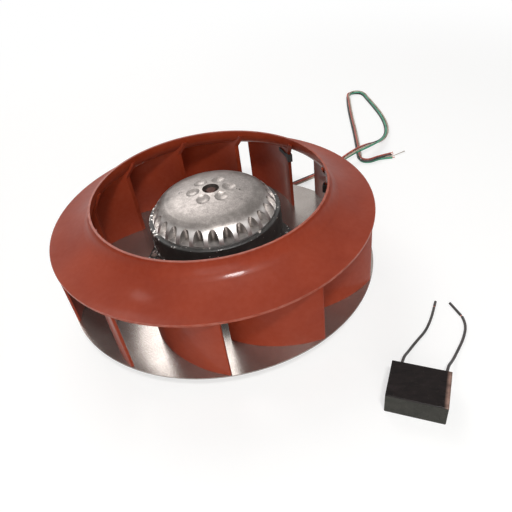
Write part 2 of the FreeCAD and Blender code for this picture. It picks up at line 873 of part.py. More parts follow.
def make_slotted_ring(label, low, height, radius):
    """Ring with winding slots that open to the air gap."""
    body = new_body(label)
    ring = new_sketch(body, "XY_Plane", low)
    circle(ring, radius)
    circle(ring, s.tube_radius)
    pad(body, ring, height)
    slot = new_sketch(body, "XY_Plane", low + height)
    outline(slot, [
        (s.slot_root_radius, -s.slot_root_half),
        (s.slot_tip_radius, -s.slot_tip_half),
        (s.slot_tip_radius, -s.slot_mouth_half),
        (radius + 1.0, -s.slot_mouth_half),
        (radius + 1.0, s.slot_mouth_half),
        (s.slot_tip_radius, s.slot_mouth_half),
        (s.slot_tip_radius, s.slot_tip_half),
        (s.slot_root_radius, s.slot_root_half),
    ])
    around(body, [pocket(body, slot, height)], s.slot_count)


def make_windings():
    """Copper winding: a rounded overhang at each end joined by a bar in each slot."""
    low_face = s.core_low - s.insulator_wall
    high_face = core_top + s.insulator_wall
    body = new_body("stator_winding")
    bar = new_sketch(body, "XY_Plane", low_face)
    inset = s.winding_inset
    outline(bar, [
        (s.slot_root_radius + inset, -s.slot_root_half + inset),
        (s.slot_tip_radius - inset, -s.slot_tip_half + inset),
        (s.slot_tip_radius - inset, s.slot_tip_half - inset),
        (s.slot_root_radius + inset, s.slot_root_half - inset),
    ])
    around(body, [pad(body, bar, high_face - low_face)], s.slot_count)
    for face, side in ((low_face, -1.0), (high_face, 1.0)):
        hoop = new_sketch(body)
        far = face + s.winding_rise * side
        shy = far - s.winding_round * side
        turn = int(side)
        outline(hoop, [
            (s.winding_inner_radius, face),
            (s.winding_outer_radius, face),
            (s.winding_outer_radius, shy, s.winding_round, turn),
            (s.winding_outer_radius - s.winding_round, far),
            (s.winding_inner_radius + s.winding_round, far, s.winding_round, turn),
            (s.winding_inner_radius, shy),
        ])
        turned(body, hoop)


def make_balance_clip(number, blade, height):
    """Spring clip pushed over the front edge of a blade, with both legs along its faces."""
    body = new_body(f"balance_clip_{number}")
    gap = s.blade_wall / 2.0 + s.clip_slack
    outside = gap + s.clip_strip
    first = -s.clip_nose_angle
    web = first + s.clip_web_angle
    for last, width in ((s.clip_leg_angle, s.clip_width), (s.clip_end_angle, s.clip_end_width)):
        plan = new_sketch(body, "XY_Plane", height - width / 2.0)
        outline(plan, [
            (*camber_point(first, s.blade_arc + outside), s.blade_arc + outside, 1),
            camber_point(last, s.blade_arc + outside),
            (*camber_point(last, s.blade_arc + gap), s.blade_arc + gap, -1),
            camber_point(web, s.blade_arc + gap),
            (*camber_point(web, s.blade_arc - gap), s.blade_arc - gap, 1),
            camber_point(last, s.blade_arc - gap),
            (*camber_point(last, s.blade_arc - outside), s.blade_arc - outside, -1),
            camber_point(first, s.blade_arc - outside),
        ])
        pad(body, plan, width)
    if blade:
        spin(body, blade_step * blade)


def make_capacitor():
    """Moulded box, open at the back, with a wound element sealed in by resin."""
    half = s.capacitor_width / 2.0
    back = s.capacitor_depth / 2.0
    wall = s.capacitor_wall
    bodies = []
    case = new_body("capacitor_case")
    box = new_sketch(case, "XY_Plane", 0.0)
    outline(box, box_corners(-half, -back, half, back))
    block = pad(case, box, s.capacitor_height)
    doc.recompute()
    rounding = case.newObject("PartDesign::Fillet", "case_rounding")
    outer_edges = [f"Edge{index + 1}" for index, edge in enumerate(block.Shape.Edges)
                   if edge.CenterOfMass.y < back.number - 1.0]
    rounding.Base = (block, outer_edges)
    bind(rounding, "Radius", s.capacitor_round)
    mouth = new_sketch(case, "XZ_Plane", -back)
    outline(mouth, box_corners(wall - half, wall, half - wall, s.capacitor_height - wall))
    pocket(case, mouth, s.capacitor_depth - wall, reverse=True)
    bodies.append(case)
    resin = new_body("capacitor_resin")
    fill = new_sketch(resin, "XZ_Plane", -back)
    outline(fill, box_corners(wall - half, wall, half - wall, s.capacitor_height - wall))
    pad(resin, fill, s.resin_depth)
    bodies.append(resin)
    element = new_body("capacitor_element")
    roll = new_sketch(element, "XZ_Plane", -back + s.resin_depth)
    round_half = s.capacitor_height / 2.0 - wall - s.element_gap
    flat_half = half - wall - s.element_gap - round_half
    middle = s.capacitor_height / 2.0
    outline(roll, [
        (-flat_half, middle - round_half),
        (flat_half, middle - round_half, round_half, 1),
        (flat_half + round_half, middle, round_half, 1),
        (flat_half, middle + round_half),
        (-flat_half, middle + round_half, round_half, 1),
        (-flat_half - round_half, middle, round_half, 1),
    ])
    pad(element, roll, s.element_length)
    bodies.append(element)
    for body in bodies:
        body.Placement = Placement(Vector(), Rotation(Vector(0, 0, -1), 1))
        bind(body, "Placement.Base.x", s.capacitor_x)
        bind(body, "Placement.Base.y", s.capacitor_y)
        bind(body, "Placement.Rotation.Angle", s.capacitor_yaw)


def bunch_points(seat):
    """The leads' shared route moved to one lead's seat, which turns slowly about it."""
    route = [Vector(*point) for point in LEAD_ROUTE]
    radius = float(sheet.get("lead_seat_radius"))
    points = []
    for index, point in enumerate(route):
        step = max(index, 1)
        ahead = min(index + 1, len(route) - 1) if index > 1 else 1
        forward = route[ahead] - route[max(index - 1, 0)]
        sideways = Vector(-forward.y, forward.x, 0).normalize()
        if step < TWIST_TURN:
            twist = TWIST_OUT * (step - TWIST_CENTRE)
        else:
            twist = TWIST_OUT * (TWIST_TURN - TWIST_CENTRE) - TWIST_BACK * (step - TWIST_TURN)
        angle = math.radians(seat + twist)
        points.append(point + sideways * radius * math.cos(angle) + Vector(0, 0, radius * math.sin(angle)))
    return points


def make_cord(label, points, diameter):
    """Round tube along straight runs joined by tangent arcs."""
    points = [Vector(point) for point in points]
    runs = [last - first for first, last in zip(points, points[1:])]
    edges = []
    radii = []
    start = points[0]
    for before, corner, after in zip(runs, points[1:], runs[1:]):
        turn = before.getAngle(after)
        reach = ARC_SHARE * min(before.Length, after.Length)
        radius = reach / math.tan(turn / 2)
        radii.append(radius)
        inward = Vector(before).normalize()
        outward = Vector(after).normalize()
        enter = corner - inward * reach
        leave = corner + outward * reach
        rise = radius / math.cos(turn / 2) - radius
        middle = corner + (outward - inward).normalize() * rise
        edges.append(Part.LineSegment(start, enter).toShape())
        edges.append(Part.Arc(enter, middle, leave).toShape())
        start = leave
    edges.append(Part.LineSegment(start, points[-1]).toShape())
    path = Part.Wire(edges)
    section = Part.Wire(Part.Circle(points[0], runs[0], diameter / 2).toShape())
    cord = doc.addObject("Part::Feature", label)
    cord.Label = label
    cord.Shape = path.makePipeShell([section], True, False)
    cord.Placement = Placement()
    pieces.append(cord)
    expected = math.pi * diameter**2 / 4 * path.Length
    print(f"{label}: length {path.Length:.1f}, smallest bend {min(radii):.1f}, "
          f"volume ratio {cord.Shape.Volume / expected:.4f}")


def make_leads():
    for label, (seat, last_points) in LEADS.items():
        points = bunch_points(seat) + [Vector(*point) for point in last_points]
        make_cord(label, points, float(sheet.get("lead_diameter")))
    for label, points in CAPACITOR_LEADS.items():
        make_cord(label, [Vector(*point) for point in points], float(sheet.get("capacitor_lead_diameter")))


def check_and_write():
    """Stop on any failed feature, on any cut that removes nothing, and on any bad shape."""
    for thing in doc.Objects:
        if "Invalid" in thing.State or "Error" in thing.State:
            raise RuntimeError(f"{thing.Label} failed: {thing.State}")
        cuts = thing.TypeId.endswith(("Pocket", "Groove")) or "Subtractive" in thing.TypeId
        if cuts and thing.BaseFeature is not None:
            if thing.Shape.Volume > thing.BaseFeature.Shape.Volume - 1e-6:
                raise RuntimeError(f"{thing.Label} cuts nothing")
    os.makedirs("parts", exist_ok=True)
    for piece in pieces:
        shape = piece.Shape
        if shape.isNull() or not shape.isValid() or not shape.Solids:
            raise RuntimeError(f"{piece.Label} has a bad shape")
        shape.exportStep(os.path.join("parts", piece.Label + ".step"))
    print(f"{len(pieces)} pieces written")


make_stator_flange()
make_bearing("lower", s.bearing_low)
make_bearing("upper", upper_bearing_low)
make_preload_washer()
make_end_cap()
make_cable_grommet()
make_slotted_ring("stator_core", s.core_low, s.core_length, s.stator_radius)
insulator_radius = s.stator_radius - s.insulator_inset
make_slotted_ring("insulator_lower", s.core_low - s.insulator_wall, s.insulator_wall, insulator_radius)
make_slotted_ring("insulator_upper", core_top, s.insulator_wall, insulator_radius)
make_windings()
make_shaft()
make_retaining_ring()
make_rotor_cap()
make_rotor_core()
make_rotor_skirt()
make_rotor_rivets()
make_back_disc()
for blade_number in range(SIZES["blade_count"]):
    make_blade(blade_number)
make_inlet_ring()
make_balance_clip(1, 0, ring_over_nose - s.clip_1_drop)
make_balance_clip(2, SIZES["blade_count"] - 1, ring_over_nose - s.clip_2_drop)
make_capacitor()
make_leads()
doc.recompute()
check_and_write()
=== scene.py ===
import math

import bmesh
import bpy
from mathutils import Matrix, Vector


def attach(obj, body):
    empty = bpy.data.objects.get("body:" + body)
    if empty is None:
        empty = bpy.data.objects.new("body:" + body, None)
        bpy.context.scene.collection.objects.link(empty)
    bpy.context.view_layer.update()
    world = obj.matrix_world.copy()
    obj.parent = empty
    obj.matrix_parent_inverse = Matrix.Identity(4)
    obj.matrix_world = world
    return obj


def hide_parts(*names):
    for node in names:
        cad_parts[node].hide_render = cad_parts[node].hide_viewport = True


# Motorised centrifugal fan wheel lying on its flange, its four bare leads and its run capacitor.
# The row frame is in metres: origin under the shaft, +Z to the inlet, +Y where the leads leave.

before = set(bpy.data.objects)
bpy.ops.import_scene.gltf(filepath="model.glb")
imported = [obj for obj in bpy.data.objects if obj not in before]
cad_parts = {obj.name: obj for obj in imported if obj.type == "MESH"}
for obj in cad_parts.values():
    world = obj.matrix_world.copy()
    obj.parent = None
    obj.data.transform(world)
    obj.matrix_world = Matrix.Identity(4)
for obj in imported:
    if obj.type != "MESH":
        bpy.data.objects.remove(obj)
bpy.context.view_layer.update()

MM_IN_METRE = 1000
BLADES = [f"blade_{count:02d}" for count in range(1, 12)]

# Camera, fitted to the rims, blades and cap of the fan: the picture's width, the focal length and
# the optical centre in pixels, and the row frame's origin along the camera's axes in metres
PICTURE = 512
FOCAL = 508.954
CENTRE = (286.0, 256.578)
ELEVATION = math.radians(39.5592)
ROLL = math.radians(-5.6385)
AZIMUTH = math.radians(7.617)
ORIGIN_SEEN = Vector((-0.051497, -0.010649, -0.441241))
SENSOR_WIDTH = 36


def set_camera():
    """Stands the camera where the fan's rims, blades and cap put it."""
    back = Vector((
        math.sin(AZIMUTH) * math.cos(ELEVATION),
        -math.cos(AZIMUTH) * math.cos(ELEVATION),
        math.sin(ELEVATION),
    ))
    right = Vector((math.cos(AZIMUTH), math.sin(AZIMUTH), 0))
    up = back.cross(right)
    across = math.cos(ROLL) * right + math.sin(ROLL) * up
    upright = -math.sin(ROLL) * right + math.cos(ROLL) * up
    turn = Matrix((across, upright, back)).transposed()
    lens = bpy.data.cameras.new("camera")
    lens.sensor_width = SENSOR_WIDTH
    lens.lens = FOCAL * SENSOR_WIDTH / PICTURE
    lens.shift_x = (PICTURE / 2 - CENTRE[0]) / PICTURE
    lens.shift_y = (CENTRE[1] - PICTURE / 2) / PICTURE
    lens.clip_start = 0.01
    camera = bpy.data.objects.new("camera", lens)
    camera.matrix_world = Matrix.Translation(turn @ -ORIGIN_SEEN) @ turn.to_4x4()
    bpy.context.scene.collection.objects.link(camera)
    bpy.context.scene.camera = camera


# Leads, in millimetres and degrees. The four share one route, and each has a seat about it: an
# angle in the section across the route, 0 to the left of travel and 90 up, and a reach from it.
LEAD_ROUTE = [
    (0.0, 46.5, 2.6),
    (0.0, 80.0, 2.6),
    (18.0, 108.0, 3.4),
    (53.0, 132.5, 2.6),
    (87.0, 159.0, 2.6),
    (111.0, 178.5, 10.8),
    (133.0, 197.5, 10.8),
    (150.0, 221.0, 3.6),
    (157.5, 247.0, 2.6),
    (155.0, 282.0, 2.6),
    (147.0, 315.0, 2.6),
    (139.0, 342.5, 2.6),
    (133.2, 364.0, 2.6),
    (122.2, 368.0, 2.6),
    (112.6, 362.0, 2.6),
    (112.8, 340.5, 2.6),
    (114.3, 299.0, 2.6),
    (118.5, 246.0, 2.6),
    (120.4, 211.0, 2.6),
    (121.0, 192.5, 2.6),
    (121.7, 180.0, 2.6),
    (126.4, 175.5, 2.6),
    (132.9, 175.2, 2.6),
    (143.1, 182.2, 2.6),
]
# each lead's own angle, where its insulation ends and where its bare strands end
LEADS = {
    "red": (270.0, (156.5, 193.6, 1.0), (159.0, 196.0, 1.0)),
    "black": (0.0, (157.0, 190.2, 1.0), (159.3, 192.2, 0.9)),
    "cream": (180.0, (158.0, 186.8, 1.0), (172.3, 197.4, 1.0)),
    "green": (90.0, (157.5, 183.2, 1.0), (160.2, 184.6, 0.9)),
}
LEAD_DIAMETER = 1.9
LEAD_SEAT_REACH = 1.56
# from this point of the route on, the loose bundle lies this many times wider than it is high
LOOSE_FROM = 2
LEAD_SPREAD = 1.3
# how far the four seats are turned at each point of the route where they keep their order
LEAD_TURNS = {
    0: -160, 1: -160,
    8: -20, 9: -35, 10: -35, 11: -35, 12: -45, 13: -70, 14: -120,
    15: -180, 16: -180, 17: -180, 18: -180, 19: -180,
    20: -190, 21: -200, 22: -210, 23: -220,
}
# angle and reach at the other points, where the leads change places: two pass wide and two close,
# and past the second crossing they draw together again
WIDE, CLOSE = 2.9, 0.96
HALF_WIDE, HALF_CLOSE = 2.6, 1.2
OUTGOING = {"red": 50, "cream": 140, "green": 230, "black": 320}
LEAD_CROSSINGS = {
    2: {"red": (125, WIDE), "cream": (305, CLOSE), "black": (125, CLOSE), "green": (305, WIDE)},
    3: {colour: (angle + 90, LEAD_SEAT_REACH) for colour, angle in OUTGOING.items()},
    4: {colour: (angle + 45, LEAD_SEAT_REACH) for colour, angle in OUTGOING.items()},
    5: {colour: (angle, LEAD_SEAT_REACH) for colour, angle in OUTGOING.items()},
    6: {"red": (0, WIDE), "cream": (165, CLOSE), "black": (345, CLOSE), "green": (180, WIDE)},
    7: {
        "red": (290, HALF_WIDE), "cream": (190, HALF_CLOSE),
        "black": (10, HALF_CLOSE), "green": (110, HALF_WIDE),
    },
}

CAPACITOR_LEADS = {
    "left": [
        (136.27, -113.07, 9.0),
        (138.69, -103.37, 9.0),
        (144.0, -92.5, 2.4),
        (150.8, -82.3, 1.3),
        (158.6, -72.6, 1.3),
        (163.8, -61.5, 1.3),
        (166.8, -53.0, 1.3),
        (168.2, -48.5, 1.3),
    ],
    "right": [
        (164.41, -120.09, 9.0),
        (166.83, -110.39, 9.0),
        (172.5, -100.5, 2.4),
        (178.0, -90.5, 1.3),
        (184.5, -78.5, 1.3),
        (188.6, -65.5, 1.3),
        (187.0, -58.2, 1.3),
    ],
}
# the stripped insulation slid to each tip: where it starts and ends
CAPACITOR_SLUGS = {
    "left": ((168.7, -47.0, 1.3), (170.2, -42.4, 1.3)),
    "right": ((186.4, -56.8, 1.3), (180.6, -44.0, 1.3)),
}
CAPACITOR_LEAD_DIAMETER = 2.0

# Bare conductor: its wires, how thick each is, how far from the middle they lie, the most that a
# splayed one stands above the middle, and the straight steps of their one full twist
STRANDS = 7
STRAND_DIAMETER = 0.32
STRAND_REACH = 0.33
STRAND_LIFT = 0.45
STRAND_STEPS = 6


def seat_points(colour, seat):
    """The shared route moved to one lead's seat, which turns about it and changes places twice."""
    route = [Vector(point) for point in LEAD_ROUTE]
    points = []
    for index, point in enumerate(route):
        ahead = min(index + 1, len(route) - 1) if index >= LOOSE_FROM else 1
        forward = route[ahead] - route[max(index - 1, 0)]
        sideways = Vector((-forward.y, forward.x, 0)).normalized()
        spread = LEAD_SPREAD if index >= LOOSE_FROM else 1
        if index in LEAD_CROSSINGS:
            angle, reach = LEAD_CROSSINGS[index][colour]
        else:
            angle, reach = seat + LEAD_TURNS[index], LEAD_SEAT_REACH
        points.append(
            point
            + sideways * spread * reach * math.cos(math.radians(angle))
            + Vector((0, 0, reach * math.sin(math.radians(angle))))
        )
    return points


def lay_line(name, runs, diameter, finish, body):
    """Smooth round lines, one for each list of points in millimetres, as one curve piece."""
    curve = bpy.data.curves.new(name, "CURVE")
    curve.dimensions = "3D"
    curve.bevel_depth = diameter / 2 / MM_IN_METRE
    curve.bevel_resolution = 5
    curve.resolution_u = 10
    curve.use_fill_caps = True
    for points in runs:
        spline = curve.splines.new("NURBS")
        spline.points.add(len(points) - 1)
        for place, point in zip(spline.points, points):
            place.co = (*(Vector(point) / MM_IN_METRE), 1)
        spline.order_u = 3
        spline.use_endpoint_u = True
    curve.materials.append(finish)
    piece = bpy.data.objects.new(name, curve)
    bpy.context.scene.collection.objects.link(piece)
    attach(piece, body)
    return piece


def length_of(points, steps=32):
    """Length in metres of the smooth line that these points in millimetres control."""
    ends = [Vector(points[0])]
    ends += [(Vector(a) + Vector(b)) / 2 for a, b in zip(points[1:-2], points[2:-1])]
    ends += [Vector(points[-1])]
    total = 0
    for start, control, end in zip(ends, points[1:-1], ends[1:]):
        before = start
        for step in range(1, steps + 1):
            share = step / steps
            here = (
                (1 - share) ** 2 * start
                + 2 * share * (1 - share) * Vector(control)
                + share**2 * end
            )
            total += (here - before).length
            before = here
    return total / MM_IN_METRE


def bare_strands(name, start, end, splay, finish, body):
    """Stranded conductor: twisted fine wires from start to end that fan out by splay at the tip."""
    start, end = Vector(start), Vector(end)
    forward = (end - start).normalized()
    sideways = Vector((-forward.y, forward.x, 0)).normalized()
    upward = forward.cross(sideways)
    runs = []
    for strand in range(STRANDS):
        run = []
        for step in range(STRAND_STEPS + 1):
            share = step / STRAND_STEPS
            angle = 2 * math.pi * (strand / STRANDS + share)
            reach = STRAND_REACH + splay * share**3
            run.append(
                start.lerp(end, share)
                + sideways * reach * math.cos(angle)
                + upward * min(reach, STRAND_LIFT) * math.sin(angle)
            )
        runs.append(run)
    return lay_line(name, runs, STRAND_DIAMETER, finish, body)


# Finishes. Sizes are in millimetres and colours are sRGB hex codes.

# sockets of a colour mix: the share, what lies under, what lies on top, and what comes out
SHARE, UNDER, TOP, MIXED = 0, 6, 7, 2
# the values that most of a noise lies between, and the length of one wave at scale 1
NOISE_LOW, NOISE_HIGH = 0.3, 0.7
WAVE_LENGTH = math.pi / 10


def linear(code):
    """Linear colour from an sRGB hex code."""
    parts = [int(code[place:place + 2], 16) / 255 for place in (1, 3, 5)]
    return (*(
        part / 12.92 if part <= 0.04045 else ((part + 0.055) / 1.055) ** 2.4
        for part in parts
    ), 1)


def per_mm(size):
    """Pattern scale for features this many millimetres across, in a frame that is in metres."""
    return MM_IN_METRE / size


def node(finish, kind, sockets=None, stops=None, **settings):
    """Adds one node with its settings; an output links to its socket, and a value is set there."""
    made = finish.node_tree.nodes.new(kind)
    for name, value in settings.items():
        setattr(made, name, value)
    if stops:
        marks = made.color_ramp.elements
        while len(marks) < len(stops):
            marks.new(0.5)
        for mark, (position, code) in zip(marks, stops):
            mark.position = position
            mark.color = linear(code)
    for name, value in (sockets or {}).items():
        if isinstance(value, bpy.types.NodeSocket):
            finish.node_tree.links.new(value, made.inputs[name])
        else:
            made.inputs[name].default_value = value
    return made


def new_finish(name):
    """An empty node finish."""
    finish = bpy.data.materials.new(name)
    finish.use_nodes = True
    finish.node_tree.nodes.clear()
    return finish


def surface(finish, sockets):
    """Closes a finish with its surface shader."""
    shader = node(finish, "ShaderNodeBsdfPrincipled", sockets)
    node(finish, "ShaderNodeOutputMaterial", {"Surface": shader.outputs["BSDF"]})
    return finish


def on_piece(finish, stretch=(1, 1, 1)):
    """Places on the piece in the row frame, squeezed this much for patterns with a direction."""
    place = node(finish, "ShaderNodeTexCoord")
    return node(finish, "ShaderNodeMapping", {
        "Vector": place.outputs["Object"], "Scale": stretch,
    }).outputs["Vector"]


def mottle(finish, across, stops, detail=4.0, stretch=(1, 1, 1)):
    """Cloudy colour with patches this many millimetres across."""
    cloud = node(finish, "ShaderNodeTexNoise", {
        "Vector": on_piece(finish, stretch), "Scale": per_mm(across), "Detail": detail,
    })
    ramp = node(finish, "ShaderNodeValToRGB", {"Fac": cloud.outputs["Fac"]}, stops)
    return ramp.outputs["Color"]


def uneven(finish, across, low, high, stretch=(1, 1, 1)):
    """A value that drifts between low and high over patches this many millimetres across."""
    cloud = node(finish, "ShaderNodeTexNoise", {
        "Vector": on_piece(finish, stretch), "Scale": per_mm(across), "Detail": 3.0,
    })
    return node(finish, "ShaderNodeMapRange", {
        "Value": cloud.outputs["Fac"],
        "From Min": NOISE_LOW, "From Max": NOISE_HIGH, "To Min": low, "To Max": high,
    }).outputs["Result"]


def skin(finish, across, depth, stretch=(1, 1, 1)):
    """Raised grain of a cast, sprayed or moulded surface, across and depth in millimetres."""
    cloud = node(finish, "ShaderNodeTexNoise", {
        "Vector": on_piece(finish, stretch), "Scale": per_mm(across), "Detail": 3.0,
    })
    return node(finish, "ShaderNodeBump", {
        "Height": cloud.outputs["Fac"], "Distance": depth / MM_IN_METRE, "Strength": 1.0,
    }).outputs["Normal"]


def band(finish, along, start, end):
    """0 before start and 1 past end, in millimetres up the shaft or out from it."""
    place = node(finish, "ShaderNodeTexCoord").outputs["Object"]
    if along == "out":
        flat = node(finish, "ShaderNodeVectorMath", {0: place, 1: (1, 1, 0)}, operation="MULTIPLY")
        far = node(finish, "ShaderNodeVectorMath", {0: flat.outputs[0]}, operation="LENGTH")
        gone = far.outputs["Value"]
    else:
        gone = node(finish, "ShaderNodeSeparateXYZ", {0: place}).outputs["Z"]
    return node(finish, "ShaderNodeMapRange", {
        "Value": gone, "From Min": start / MM_IN_METRE, "From Max": end / MM_IN_METRE,
    }, interpolation_type="SMOOTHSTEP").outputs["Result"]


def near(finish, spot, reach):
    """1 near a spot on the plan and 0 past reach, in millimetres, soft over its last fifth."""
    place = node(finish, "ShaderNodeTexCoord").outputs["Object"]
    flat = node(finish, "ShaderNodeVectorMath", {0: place, 1: (1, 1, 0)}, operation="MULTIPLY")
    away = node(finish, "ShaderNodeVectorMath", {
        0: flat.outputs[0], 1: (spot[0] / MM_IN_METRE, spot[1] / MM_IN_METRE, 0),
    }, operation="DISTANCE")
    return node(finish, "ShaderNodeMapRange", {
        "Value": away.outputs["Value"],
        "From Min": 0.8 * reach / MM_IN_METRE, "From Max": reach / MM_IN_METRE,
        "To Min": 1.0, "To Max": 0.0,
    }).outputs["Result"]


def specks(finish, across, share, soft=0.03):
    """1 on scattered specks this many millimetres across and 0 between them."""
    cloud = node(finish, "ShaderNodeTexNoise", {
        "Vector": on_piece(finish), "Scale": per_mm(across), "Detail": 2.0,
    })
    return node(finish, "ShaderNodeMapRange", {
        "Value": cloud.outputs["Fac"], "From Min": 1 - share, "From Max": 1 - share + soft,
    }).outputs["Result"]


def red_enamel():
    """Stoving enamel sprayed on pressed steel: even satin film, faint orange peel, rims painted
    pale as a highlight.
    """
    finish = new_finish("red_brown_stoving_enamel_on_pressed_steel")
    # spray passes drift over 42 mm, and overspray has settled in 3.5 mm patches
    film = mottle(finish, 42, [(0.3, "#822C14"), (0.5, "#8F351B"), (0.7, "#9A3D22")])
    dust = mottle(finish, 3.5, [(0.35, "#8C3018"), (0.7, "#9C4431")], detail=2.0)
    film = node(finish, "ShaderNodeMix", {
        SHARE: 0.22, UNDER: film, TOP: dust,
    }, data_type="RGBA").outputs[MIXED]
    # painted highlight: the ring's outer rim and the inlet's lip are painted pale where their
    # rolled edges catch the light
    rim = node(finish, "ShaderNodeMath", {
        0: band(finish, "out", 124.3, 124.9), 1: band(finish, "up", 62.0, 62.6),
    }, operation="MULTIPLY").outputs[0]
    edges = node(finish, "ShaderNodeMath", {
        0: band(finish, "up", 84.3, 85.1), 1: rim,
    }, operation="MAXIMUM").outputs[0]
    painted_edge_highlight = node(finish, "ShaderNodeMath", {
        0: edges, 1: uneven(finish, 5, 0.15, 0.6),
    }, operation="MULTIPLY").outputs[0]
    film = node(finish, "ShaderNodeMix", {
        SHARE: painted_edge_highlight, UNDER: film, TOP: linear("#B47060"),
    }, data_type="RGBA").outputs[MIXED]
    return surface(finish, {
        "Base Color": film,
        "Roughness": uneven(finish, 24, 0.46, 0.58),
        "IOR": 1.45,
        "Specular IOR Level": 0.12,
        "Coat Weight": 0.34,
        "Coat Roughness": 0.15,
        "Coat IOR": 1.33,
        "Normal": skin(finish, 1.8, 0.014),
    })


# how far the sheet's rolling direction is turned from the x axis
ROLLING_ANGLE = math.radians(30.9)


def galvanised_sheet():
    """Hot-dip zinc, skin-passed: a soft mirror with grey clouds and faint rolling lines."""
    finish = new_finish("hot_dip_galvanised_rolled_sheet")
    # dull clouds are 26 mm across, and the flattened spangles 6 mm
    zinc = mottle(finish, 26, [(0.3, "#9A918B"), (0.5, "#A69E98"), (0.7, "#B2AAA4")], detail=5.0)
    spangle = node(finish, "ShaderNodeTexVoronoi", {
        "Vector": on_piece(finish), "Scale": per_mm(6), "Randomness": 1.0,
    })
    flake = node(finish, "ShaderNodeSeparateColor", {0: spangle.outputs["Color"]}).outputs[0]
    faint_flake = node(finish, "ShaderNodeMath", {0: flake, 1: 0.12}, operation="MULTIPLY")
    zinc = node(finish, "ShaderNodeMix", {
        SHARE: faint_flake.outputs[0], UNDER: zinc, TOP: linear("#C9C2BC"),
    }, data_type="RGBA").outputs[MIXED]
    # rolling lines are 0.1 mm apart, drawn 0.8 mm so that they show
    lines = node(finish, "ShaderNodeMapping", {
        "Vector": node(finish, "ShaderNodeTexCoord").outputs["Object"],
        "Rotation": (0, 0, ROLLING_ANGLE), "Scale": (25, 1, 1),
    }, vector_type="TEXTURE")
    scratches = node(finish, "ShaderNodeTexNoise", {
        "Vector": lines.outputs["Vector"], "Scale": per_mm(0.8), "Detail": 2.0,
    })
    faint_scratches = node(finish, "ShaderNodeMath", {
        0: scratches.outputs["Fac"], 1: 0.3,
    }, operation="MULTIPLY")
    zinc = node(finish, "ShaderNodeMix", {
        SHARE: faint_scratches.outputs[0], UNDER: zinc, TOP: linear("#857C76"),
    }, data_type="RGBA").outputs[MIXED]
    # zinc frost is 0.2 mm, drawn 1 mm so that it shows
    frost = mottle(finish, 1.0, [(0.36, "#79706B"), (0.64, "#C6BFB9")], detail=1.0)
    zinc = node(finish, "ShaderNodeMix", {
        SHARE: 0.2, UNDER: zinc, TOP: frost,
    }, data_type="RGBA").outputs[MIXED]
    return surface(finish, {
        "Base Color": zinc,
        "Metallic": 0.78,
        "Roughness": uneven(finish, 18, 0.19, 0.27),
        "Normal": skin(finish, 1.4, 0.004),
    })


# pin holes in the cap's top: the place of each on the plan and how far it reaches
PIN_HOLES = [
    ((-25.0, -0.9), 0.75),
    ((-23.4, -0.2), 0.5),
    ((22.0, 1.3), 0.8),
    ((19.8, 1.6), 0.55),
]


def cast_aluminium():
    """Die-cast aluminium, tumbled: warm grey mottled skin, a ring of painted shade inside the
    shoulder, a bright shoulder of rubbed metal with a painted highlight, a recess with painted
    shade and rust, pin holes.
    """
    finish = new_finish("die_cast_aluminium_tumbled")
    # flow marks of the melt are 14 mm across, and handling stains 3.2 mm
    metal = mottle(finish, 14, [(0.3, "#6D6763"), (0.5, "#807975"), (0.7, "#8F8883")], detail=5.0)
    stain = mottle(finish, 3.2, [(0.35, "#7B7571"), (0.65, "#AAA29D")])
    # blast grain is 0.3 mm, drawn 1 mm so that it shows
    grain = mottle(finish, 1.0, [
        (0.36, "#5A5450"), (0.5, "#857D78"), (0.64, "#BDB6B1"),
    ], detail=1.0)
    for share, layer in ((0.35, stain), (0.17, grain)):
        metal = node(finish, "ShaderNodeMix", {
            SHARE: share, UNDER: metal, TOP: layer,
        }, data_type="RGBA").outputs[MIXED]
    # painted shade: a darker ring is painted between the tumbled top and the bright shoulder, where
    # the shoulder's crease turns away from the light
    ring = node(finish, "ShaderNodeMath", {
        0: band(finish, "out", 29.0, 35.0), 1: band(finish, "out", 40.5, 44.5),
    }, operation="SUBTRACT").outputs[0]
    shoulder_shade = node(finish, "ShaderNodeMath", {
        0: ring, 1: uneven(finish, 16, 0.15, 0.95),
    }, operation="MULTIPLY").outputs[0]
    # painted highlight: the shoulder is painted bright where it catches the light, over metal that
    # is rubbed there
    rubbed_and_highlit = node(finish, "ShaderNodeMath", {
        0: band(finish, "out", 40.0, 45.0), 1: uneven(finish, 6, 0.35, 0.9),
    }, operation="MULTIPLY").outputs[0]
    # the recess round the shaft is painted dark: painted shade in the hole, with oil and rust stain
    recess_shade_and_rust = node(finish, "ShaderNodeMath", {
        0: near(finish, (0.0, 0.0), 6.75), 1: band(finish, "up", 72.0, 76.0),
    }, operation="MULTIPLY").outputs[0]
    marks = [(shoulder_shade, "#5F5A56"), (rubbed_and_highlit, "#D2CECB"), (recess_shade_and_rust, "#33231D")]
    marks += [(near(finish, spot, reach), "#2C2624") for spot, reach in PIN_HOLES]
    for share, colour in marks:
        metal = node(finish, "ShaderNodeMix", {
            SHARE: share, UNDER: metal, TOP: linear(colour),
        }, data_type="RGBA").outputs[MIXED]
    return surface(finish, {
        "Base Color": metal,
        "Metallic": 0.9,
        "Roughness": uneven(finish, 5, 0.34, 0.46),
        "Normal": skin(finish, 1.0, 0.03),
    })


